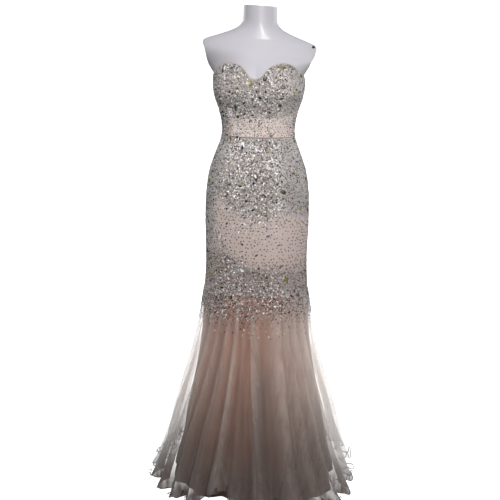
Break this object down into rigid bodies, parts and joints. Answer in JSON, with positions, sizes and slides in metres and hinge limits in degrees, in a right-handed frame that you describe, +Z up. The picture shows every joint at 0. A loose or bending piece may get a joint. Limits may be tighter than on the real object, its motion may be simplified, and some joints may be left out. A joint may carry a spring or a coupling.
{
  "type": "evening gown on dress form",
  "caption": "Strapless sweetheart evening gown, fitted and beaded to the knee with a pleated net flare to the floor, on a limbless dress form with a round base.",
  "frame": {"origin": "centre of the stand base's underside, on the floor", "axes": "+Z up, -Y the gown's front, +X the wearer's left"},
  "size_m": [0.6872, 0.6992, 1.5455],
  "materials": {
    "beaded_cloth": "blush net over backing, covered with silver and grey beads",
    "skirt_net": "soft grey-beige net",
    "lining_satin": "dusty pink satin",
    "form_plastic": "glossy white moulded shell",
    "stand_metal": "satin metal",
    "zip_coil": "matte nylon coil",
    "zip_metal": "satin metal",
    "stone_clear": "foiled clear glass, faceted",
    "stone_citrine": "foiled yellow-green glass, faceted",
    "stone_smoke": "foiled smoke-grey glass, faceted"
  },
  "bodies": {
    "gown": {"bust_cup_left": "beaded_cloth", "bust_cup_right": "beaded_cloth", "midriff_front": "beaded_cloth", "bodice_back_left": "beaded_cloth", "bodice_back_right": "beaded_cloth", "skirt_front": "beaded_cloth", "skirt_back_left": "beaded_cloth", "skirt_back_right": "beaded_cloth", "net_front": "skirt_net", "net_side_left": "skirt_net", "net_side_right": "skirt_net", "net_back": "skirt_net", "lining_front": "lining_satin", "lining_back": "lining_satin", "form_torso": "form_plastic", "arm_fitting": "stand_metal", "stand_pole": "stand_metal", "stand_base": "stand_metal", "zip_coil": "zip_coil", "zip_slider": "zip_metal", "stone_01": "stone_citrine", "stone_02": "stone_citrine", "stone_03": "stone_citrine", "stone_04": "stone_smoke", "stone_05": "stone_citrine", "stone_06": "stone_citrine", "stone_07": "stone_smoke", "stone_08": "stone_smoke", "stone_09": "stone_smoke", "stone_10": "stone_smoke", "stone_11": "stone_smoke", "stone_12": "stone_smoke", "stone_13": "stone_smoke", "stone_14": "stone_citrine", "stone_15": "stone_smoke", "stone_16": "stone_citrine", "stone_17": "stone_clear", "stone_18": "stone_clear", "stone_19": "stone_clear", "stone_20": "stone_clear", "stone_21": "stone_citrine", "stone_22": "stone_citrine", "stone_23": "stone_citrine", "stone_24": "stone_citrine", "stone_25": "stone_citrine", "stone_26": "stone_smoke", "stone_27": "stone_citrine", "stone_28": "stone_clear", "stone_29": "stone_clear", "stone_30": "stone_citrine", "stone_31": "stone_citrine", "stone_32": "stone_smoke", "stone_33": "stone_citrine", "stone_34": "stone_citrine", "stone_35": "stone_clear", "stone_36": "stone_citrine", "stone_37": "stone_smoke", "stone_38": "stone_citrine"},
    "pull_tab": {"zip_pull": "zip_metal"}
  },
  "joints": [
    {"name": "zip_pull_swing", "type": "hinge", "parent": "gown", "child": "pull_tab", "pos_m": [0, 0.09213, 1.27775], "axis": [1, 0, 0], "range_deg": [0, 165]}
  ]
}
